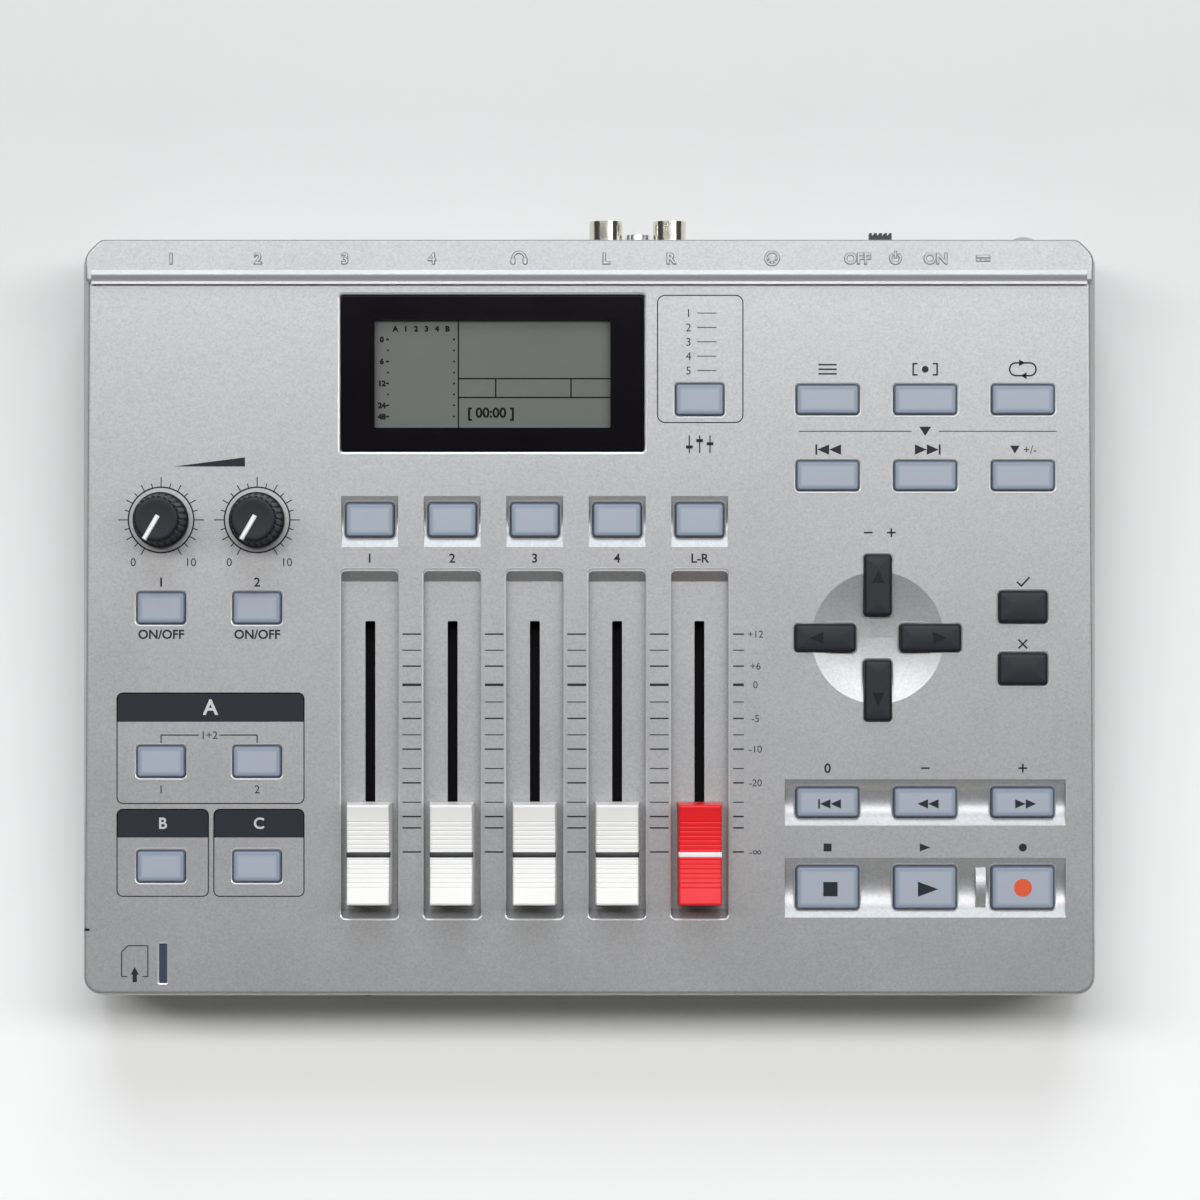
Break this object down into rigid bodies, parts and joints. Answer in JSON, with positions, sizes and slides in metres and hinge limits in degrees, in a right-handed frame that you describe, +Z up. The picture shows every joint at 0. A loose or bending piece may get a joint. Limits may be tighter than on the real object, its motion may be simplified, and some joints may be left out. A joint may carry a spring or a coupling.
{
  "type": "digital multitrack recorder",
  "caption": "Desktop multitrack recorder with sliding faders, turning dials, press keys, a display window, a hinged card door and rear audio sockets.",
  "frame": {"origin": "under the middle of the whole footprint, sockets included, on the plane of the feet", "axes": "+X to the right of the person using it, +Y to the rear sockets, +Z up"},
  "size_m": [0.256, 0.1969, 0.0519],
  "materials": {
    "silver": "metallic silver paint",
    "silver_low": "metallic grey paint",
    "black_panel": "moulded black",
    "window": "clear acrylic with a black printed border",
    "lcd": "reflective liquid crystal",
    "board": "green solder mask",
    "switch": "moulded black",
    "steel": "plated steel",
    "plated": "bright nickel",
    "light": "smoked light pipe",
    "rubber": "matte",
    "cap_white": "satin",
    "cap_red": "satin",
    "dial": "satin",
    "key_lit": "translucent smoke",
    "key_black": "satin"
  },
  "bodies": {
    "case": {"top_cover": "silver", "bottom_case": "silver_low", "rear_panel": "silver_low", "midi_socket": "black_panel", "dc_socket": "black_panel", "phone_jacks": "black_panel", "display_window": "window", "lcd_module": "lcd", "panel_board": "board", "main_board": "board", "tact_switches": "switch", "fader_bodies": "steel", "dial_pots": "steel", "power_switch": "steel", "card_socket": "steel", "battery_contacts": "steel", "case_screws": "steel", "phono_jacks": "plated", "access_light": "light", "rubber_feet": "rubber"},
    "card_door": {"card_door": "silver"},
    "battery_cover": {"battery_cover": "silver_low"},
    "power_slider": {"power_slider": "black_panel"},
    "fader_1": {"fader_1": "cap_white"},
    "fader_2": {"fader_2": "cap_white"},
    "fader_3": {"fader_3": "cap_white"},
    "fader_4": {"fader_4": "cap_white"},
    "fader_main": {"fader_main": "cap_red"},
    "dial_1": {"dial_1": "dial"},
    "dial_2": {"dial_2": "dial"},
    "track_key_1": {"track_key_1": "key_lit"},
    "track_key_2": {"track_key_2": "key_lit"},
    "track_key_3": {"track_key_3": "key_lit"},
    "track_key_4": {"track_key_4": "key_lit"},
    "main_key": {"main_key": "key_lit"},
    "parameter_key": {"parameter_key": "key_lit"},
    "input_key_1": {"input_key_1": "key_lit"},
    "input_key_2": {"input_key_2": "key_lit"},
    "left_key_1": {"left_key_1": "key_lit"},
    "left_key_2": {"left_key_2": "key_lit"},
    "left_key_3": {"left_key_3": "key_lit"},
    "left_key_4": {"left_key_4": "key_lit"},
    "grid_key_1": {"grid_key_1": "key_lit"},
    "grid_key_2": {"grid_key_2": "key_lit"},
    "grid_key_3": {"grid_key_3": "key_lit"},
    "grid_key_4": {"grid_key_4": "key_lit"},
    "grid_key_5": {"grid_key_5": "key_lit"},
    "grid_key_6": {"grid_key_6": "key_lit"},
    "zero_key": {"zero_key": "key_lit"},
    "rewind_key": {"rewind_key": "key_lit"},
    "forward_key": {"forward_key": "key_lit"},
    "stop_key": {"stop_key": "key_lit"},
    "play_key": {"play_key": "key_lit"},
    "record_key": {"record_key": "key_lit"},
    "cursor_up": {"cursor_up": "key_black"},
    "cursor_down": {"cursor_down": "key_black"},
    "cursor_left": {"cursor_left": "key_black"},
    "cursor_right": {"cursor_right": "key_black"},
    "enter_key": {"enter_key": "key_black"},
    "exit_key": {"exit_key": "key_black"}
  },
  "joints": [
    {"name": "card_door_swing", "type": "hinge", "parent": "case", "child": "card_door", "pos_m": [-0.0559, -0.0963, 0.017], "axis": [0, 0, 1], "range_deg": [0, 88]},
    {"name": "battery_cover_lift", "type": "slide", "parent": "case", "child": "battery_cover", "axis": [0, 0, -1], "range_m": [0, 0.018]},
    {"name": "fader_1_slide", "type": "slide", "parent": "case", "child": "fader_1", "axis": [0, 1, 0], "range_m": [0, 0.0547]},
    {"name": "fader_2_slide", "type": "slide", "parent": "case", "child": "fader_2", "axis": [0, 1, 0], "range_m": [0, 0.0547]},
    {"name": "fader_3_slide", "type": "slide", "parent": "case", "child": "fader_3", "axis": [0, 1, 0], "range_m": [0, 0.0547]},
    {"name": "fader_4_slide", "type": "slide", "parent": "case", "child": "fader_4", "axis": [0, 1, 0], "range_m": [0, 0.0547]},
    {"name": "fader_main_slide", "type": "slide", "parent": "case", "child": "fader_main", "axis": [0, 1, 0], "range_m": [0, 0.0547]},
    {"name": "dial_1_turn", "type": "hinge", "parent": "case", "child": "dial_1", "pos_m": [-0.10745, 0.0219, 0.04], "axis": [0, 0, -1], "range_deg": [0, 300]},
    {"name": "dial_2_turn", "type": "hinge", "parent": "case", "child": "dial_2", "pos_m": [-0.08335, 0.0219, 0.04], "axis": [0, 0, -1], "range_deg": [0, 300]},
    {"name": "power_slide", "type": "slide", "parent": "case", "child": "power_slider", "axis": [1, 0, 0], "range_m": [0, 0.005]},
    {"name": "zero_key_press", "type": "slide", "parent": "case", "child": "zero_key", "axis": [0, 0, -1], "range_m": [0, 0.0005], "stiffness_N_per_m": 800},
    {"name": "rewind_key_press", "type": "slide", "parent": "case", "child": "rewind_key", "axis": [0, 0, -1], "range_m": [0, 0.0005], "stiffness_N_per_m": 800},
    {"name": "forward_key_press", "type": "slide", "parent": "case", "child": "forward_key", "axis": [0, 0, -1], "range_m": [0, 0.0005], "stiffness_N_per_m": 800},
    {"name": "stop_key_press", "type": "slide", "parent": "case", "child": "stop_key", "axis": [0, 0, -1], "range_m": [0, 0.0005], "stiffness_N_per_m": 800},
    {"name": "play_key_press", "type": "slide", "parent": "case", "child": "play_key", "axis": [0, 0, -1], "range_m": [0, 0.0005], "stiffness_N_per_m": 800},
    {"name": "record_key_press", "type": "slide", "parent": "case", "child": "record_key", "axis": [0, 0, -1], "range_m": [0, 0.0005], "stiffness_N_per_m": 800},
    {"name": "track_key_1_press", "type": "slide", "parent": "case", "child": "track_key_1", "axis": [0, 0, -1], "range_m": [0, 0.0005], "stiffness_N_per_m": 800},
    {"name": "track_key_2_press", "type": "slide", "parent": "case", "child": "track_key_2", "axis": [0, 0, -1], "range_m": [0, 0.0005], "stiffness_N_per_m": 800},
    {"name": "track_key_3_press", "type": "slide", "parent": "case", "child": "track_key_3", "axis": [0, 0, -1], "range_m": [0, 0.0005], "stiffness_N_per_m": 800},
    {"name": "track_key_4_press", "type": "slide", "parent": "case", "child": "track_key_4", "axis": [0, 0, -1], "range_m": [0, 0.0005], "stiffness_N_per_m": 800},
    {"name": "main_key_press", "type": "slide", "parent": "case", "child": "main_key", "axis": [0, 0, -1], "range_m": [0, 0.0005], "stiffness_N_per_m": 800},
    {"name": "parameter_key_press", "type": "slide", "parent": "case", "child": "parameter_key", "axis": [0, 0, -1], "range_m": [0, 0.0005], "stiffness_N_per_m": 800},
    {"name": "input_key_1_press", "type": "slide", "parent": "case", "child": "input_key_1", "axis": [0, 0, -1], "range_m": [0, 0.0005], "stiffness_N_per_m": 800},
    {"name": "input_key_2_press", "type": "slide", "parent": "case", "child": "input_key_2", "axis": [0, 0, -1], "range_m": [0, 0.0005], "stiffness_N_per_m": 800},
    {"name": "left_key_1_press", "type": "slide", "parent": "case", "child": "left_key_1", "axis": [0, 0, -1], "range_m": [0, 0.0005], "stiffness_N_per_m": 800},
    {"name": "left_key_2_press", "type": "slide", "parent": "case", "child": "left_key_2", "axis": [0, 0, -1], "range_m": [0, 0.0005], "stiffness_N_per_m": 800},
    {"name": "left_key_3_press", "type": "slide", "parent": "case", "child": "left_key_3", "axis": [0, 0, -1], "range_m": [0, 0.0005], "stiffness_N_per_m": 800},
    {"name": "left_key_4_press", "type": "slide", "parent": "case", "child": "left_key_4", "axis": [0, 0, -1], "range_m": [0, 0.0005], "stiffness_N_per_m": 800},
    {"name": "grid_key_1_press", "type": "slide", "parent": "case", "child": "grid_key_1", "axis": [0, 0, -1], "range_m": [0, 0.0005], "stiffness_N_per_m": 800},
    {"name": "grid_key_2_press", "type": "slide", "parent": "case", "child": "grid_key_2", "axis": [0, 0, -1], "range_m": [0, 0.0005], "stiffness_N_per_m": 800},
    {"name": "grid_key_3_press", "type": "slide", "parent": "case", "child": "grid_key_3", "axis": [0, 0, -1], "range_m": [0, 0.0005], "stiffness_N_per_m": 800},
    {"name": "grid_key_4_press", "type": "slide", "parent": "case", "child": "grid_key_4", "axis": [0, 0, -1], "range_m": [0, 0.0005], "stiffness_N_per_m": 800},
    {"name": "grid_key_5_press", "type": "slide", "parent": "case", "child": "grid_key_5", "axis": [0, 0, -1], "range_m": [0, 0.0005], "stiffness_N_per_m": 800},
    {"name": "grid_key_6_press", "type": "slide", "parent": "case", "child": "grid_key_6", "axis": [0, 0, -1], "range_m": [0, 0.0005], "stiffness_N_per_m": 800},
    {"name": "cursor_up_press", "type": "slide", "parent": "case", "child": "cursor_up", "axis": [0, 0, -1], "range_m": [0, 0.0005], "stiffness_N_per_m": 800},
    {"name": "cursor_down_press", "type": "slide", "parent": "case", "child": "cursor_down", "axis": [0, 0, -1], "range_m": [0, 0.0005], "stiffness_N_per_m": 800},
    {"name": "cursor_left_press", "type": "slide", "parent": "case", "child": "cursor_left", "axis": [0, 0, -1], "range_m": [0, 0.0005], "stiffness_N_per_m": 800},
    {"name": "cursor_right_press", "type": "slide", "parent": "case", "child": "cursor_right", "axis": [0, 0, -1], "range_m": [0, 0.0005], "stiffness_N_per_m": 800},
    {"name": "enter_key_press", "type": "slide", "parent": "case", "child": "enter_key", "axis": [0, 0, -1], "range_m": [0, 0.0005], "stiffness_N_per_m": 800},
    {"name": "exit_key_press", "type": "slide", "parent": "case", "child": "exit_key", "axis": [0, 0, -1], "range_m": [0, 0.0005], "stiffness_N_per_m": 800}
  ]
}
